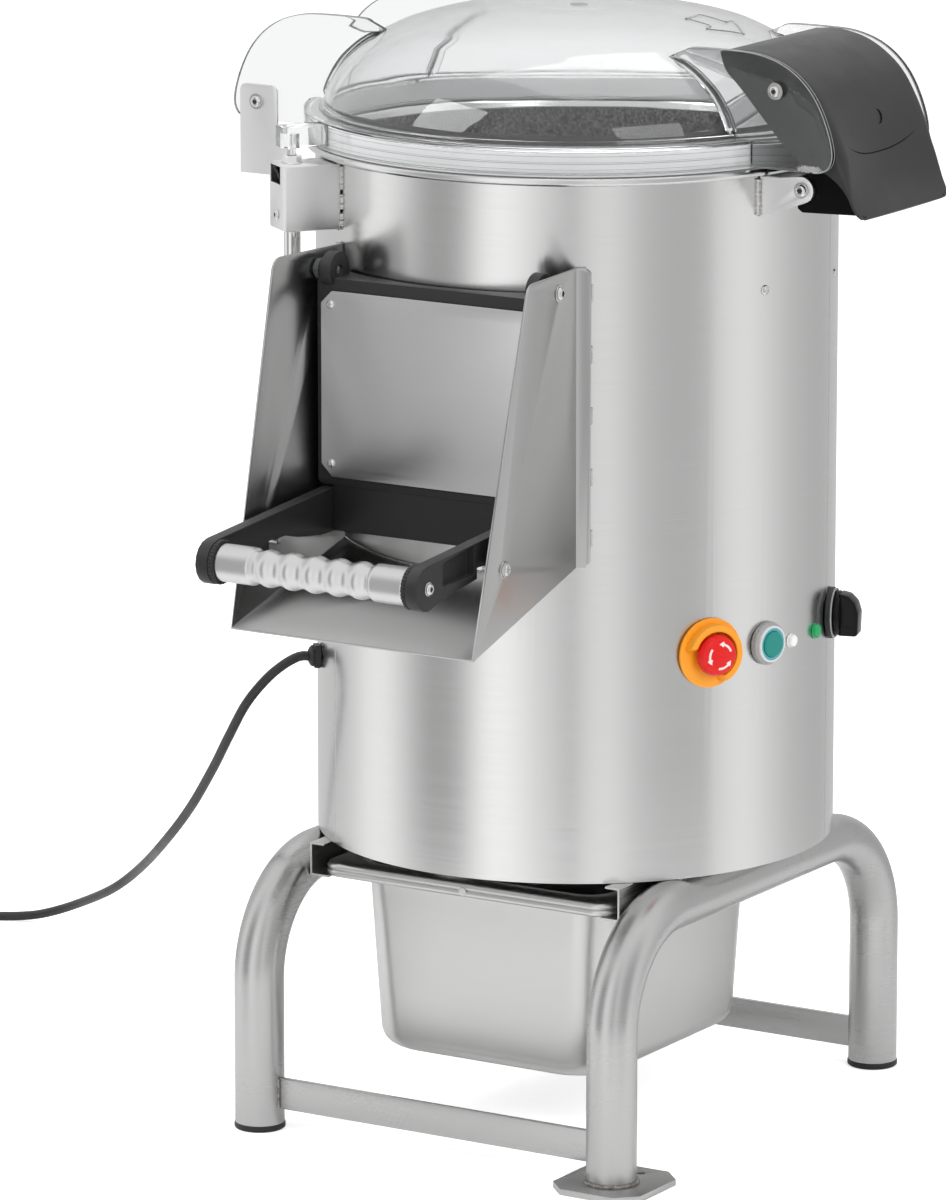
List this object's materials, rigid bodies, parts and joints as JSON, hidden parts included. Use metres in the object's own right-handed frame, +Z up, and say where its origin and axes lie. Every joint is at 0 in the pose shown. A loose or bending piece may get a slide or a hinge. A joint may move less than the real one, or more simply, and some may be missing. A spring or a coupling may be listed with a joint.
{
  "type": "potato peeler machine",
  "caption": "Floor-standing potato peeler: steel drum on a tube stand, clear hinged lid, chute with a lifting door, abrasive disc, waste pan, side controls and mains cord.",
  "frame": {"origin": "floor level, under the middle of the machine without its cord; the drum's axis stands at x -0.014, y 0.096", "axes": "+Z up; the chute and its handle face -Y; the lid's hinge and the controls are towards +X"},
  "size_m": [1.4538, 0.779, 1.0835],
  "materials": {
    "left_arch": "brushed",
    "right_arch": "brushed",
    "front_bar": "brushed",
    "rear_bar": "brushed",
    "foot_cap_front_left": "matte",
    "foot_cap_rear_right": "matte",
    "anchor_plate_front": "brushed",
    "anchor_plate_rear": "brushed",
    "pan_rail_left": "brushed",
    "pan_rail_right": "brushed",
    "drum_shell": "brushed",
    "wall_liner": "gritted",
    "floor_pan": "satin",
    "bottom_plate": "moulded",
    "discharge_chute": "brushed",
    "door_hinge_bolt_left": "polished",
    "door_hinge_bolt_right": "polished",
    "water_inlet": "polished",
    "bearing_housing": "satin",
    "lower_bearing": "polished",
    "upper_bearing": "polished",
    "drive_belt": "matte",
    "motor": "painted",
    "hinge_lug_front": "polished",
    "hinge_lug_rear": "polished",
    "hinge_rod": "polished",
    "latch_box": "brushed",
    "interlock_switch": "moulded",
    "conduit": "polished",
    "estop_collar": "satin",
    "estop_contacts": "moulded",
    "start_bezel": "satin",
    "lamp_white": "gloss",
    "lamp_green": "gloss",
    "isolator_base": "moulded",
    "cable_gland": "moulded",
    "power_cord": "matte",
    "cord_coil": "matte",
    "power_plug": "matte",
    "waste_pan": "satin",
    "lid_dome": "clear",
    "lid_seal": "matte",
    "hinge_guard": "moulded",
    "lid_bracket": "brushed",
    "door_frame": "moulded",
    "door_cover": "brushed",
    "door_seal": "matte",
    "handle_arm_left": "moulded",
    "handle_arm_right": "moulded",
    "handle_grip": "satin",
    "abrasive_disc": "gritted",
    "drive_shaft": "polished",
    "disc_nut": "polished",
    "driven_pulley": "satin",
    "motor_pulley": "satin",
    "interlock_plunger": "polished",
    "estop_stem": "satin",
    "estop_head": "satin",
    "start_button": "satin",
    "isolator_knob": "gloss"
  },
  "bodies": {
    "machine": {"left_arch": "left_arch", "right_arch": "right_arch", "front_bar": "front_bar", "rear_bar": "rear_bar", "foot_cap_front_left": "foot_cap_front_left", "foot_cap_rear_right": "foot_cap_rear_right", "anchor_plate_front": "anchor_plate_front", "anchor_plate_rear": "anchor_plate_rear", "pan_rail_left": "pan_rail_left", "pan_rail_right": "pan_rail_right", "drum_shell": "drum_shell", "wall_liner": "wall_liner", "floor_pan": "floor_pan", "bottom_plate": "bottom_plate", "discharge_chute": "discharge_chute", "door_hinge_bolt_left": "door_hinge_bolt_left", "door_hinge_bolt_right": "door_hinge_bolt_right", "water_inlet": "water_inlet", "bearing_housing": "bearing_housing", "lower_bearing": "lower_bearing", "upper_bearing": "upper_bearing", "drive_belt": "drive_belt", "motor": "motor", "hinge_lug_front": "hinge_lug_front", "hinge_lug_rear": "hinge_lug_rear", "hinge_rod": "hinge_rod", "latch_box": "latch_box", "interlock_switch": "interlock_switch", "conduit": "conduit", "estop_collar": "estop_collar", "estop_contacts": "estop_contacts", "start_bezel": "start_bezel", "lamp_white": "lamp_white", "lamp_green": "lamp_green", "isolator_base": "isolator_base", "cable_gland": "cable_gland", "power_cord": "power_cord", "cord_coil": "cord_coil", "power_plug": "power_plug"},
    "pan": {"waste_pan": "waste_pan"},
    "lid": {"lid_dome": "lid_dome", "lid_seal": "lid_seal", "hinge_guard": "hinge_guard", "lid_bracket": "lid_bracket"},
    "door": {"door_frame": "door_frame", "door_cover": "door_cover", "door_seal": "door_seal", "handle_arm_left": "handle_arm_left", "handle_arm_right": "handle_arm_right", "handle_grip": "handle_grip"},
    "rotor": {"abrasive_disc": "abrasive_disc", "drive_shaft": "drive_shaft", "disc_nut": "disc_nut", "driven_pulley": "driven_pulley"},
    "motor_rotor": {"motor_pulley": "motor_pulley"},
    "interlock": {"interlock_plunger": "interlock_plunger"},
    "stop_stem": {"estop_stem": "estop_stem"},
    "stop_head": {"estop_head": "estop_head"},
    "start": {"start_button": "start_button"},
    "isolator": {"isolator_knob": "isolator_knob"}
  },
  "joints": [
    {"name": "pan_slide", "type": "slide", "parent": "machine", "child": "pan", "axis": [0, -1, 0], "range_m": [0, 0.33]},
    {"name": "lid_hinge", "type": "hinge", "parent": "machine", "child": "lid", "pos_m": [0.274, 0.096, 0.9365], "axis": [0, 1, 0], "range_deg": [0, 95]},
    {"name": "door_hinge", "type": "hinge", "parent": "machine", "child": "door", "pos_m": [-0.014, -0.16, 0.852], "axis": [-1, 0, 0], "range_deg": [0, 80]},
    {"name": "disc_spin", "type": "hinge", "parent": "machine", "child": "rotor", "pos_m": [-0.014, 0.096, 0.4774], "axis": [0, 0, 1], "continuous": true},
    {"name": "motor_spin", "type": "hinge", "parent": "machine", "child": "motor_rotor", "pos_m": [-0.089, 0.221, 0.4774], "axis": [0, 0, 1], "continuous": true},
    {"name": "interlock_plunger_slide", "type": "slide", "parent": "machine", "child": "interlock", "axis": [0, 0, -1], "range_m": [0, 0.006], "stiffness_N_per_m": 600, "springref_m": -0.002},
    {"name": "estop_push", "type": "slide", "parent": "machine", "child": "stop_stem", "axis": [-0.8746, 0.4848, 0], "range_m": [0, 0.005]},
    {"name": "estop_twist", "type": "hinge", "parent": "stop_stem", "child": "stop_head", "pos_m": [0.21454, -0.03068, 0.495], "axis": [-0.8746, 0.4848, 0], "range_deg": [0, 40]},
    {"name": "start_push", "type": "slide", "parent": "machine", "child": "start", "axis": [-0.9736, 0.2284, 0], "range_m": [0, 0.003], "stiffness_N_per_m": 500},
    {"name": "isolator_turn", "type": "hinge", "parent": "machine", "child": "isolator", "pos_m": [0.22662, 0.17187, 0.499], "axis": [-0.9537, -0.3007, 0], "range_deg": [0, 90]}
  ],
  "couplings": [
    {"joint": "motor_spin", "follows": "disc_spin", "ratio": 3.6364}
  ]
}
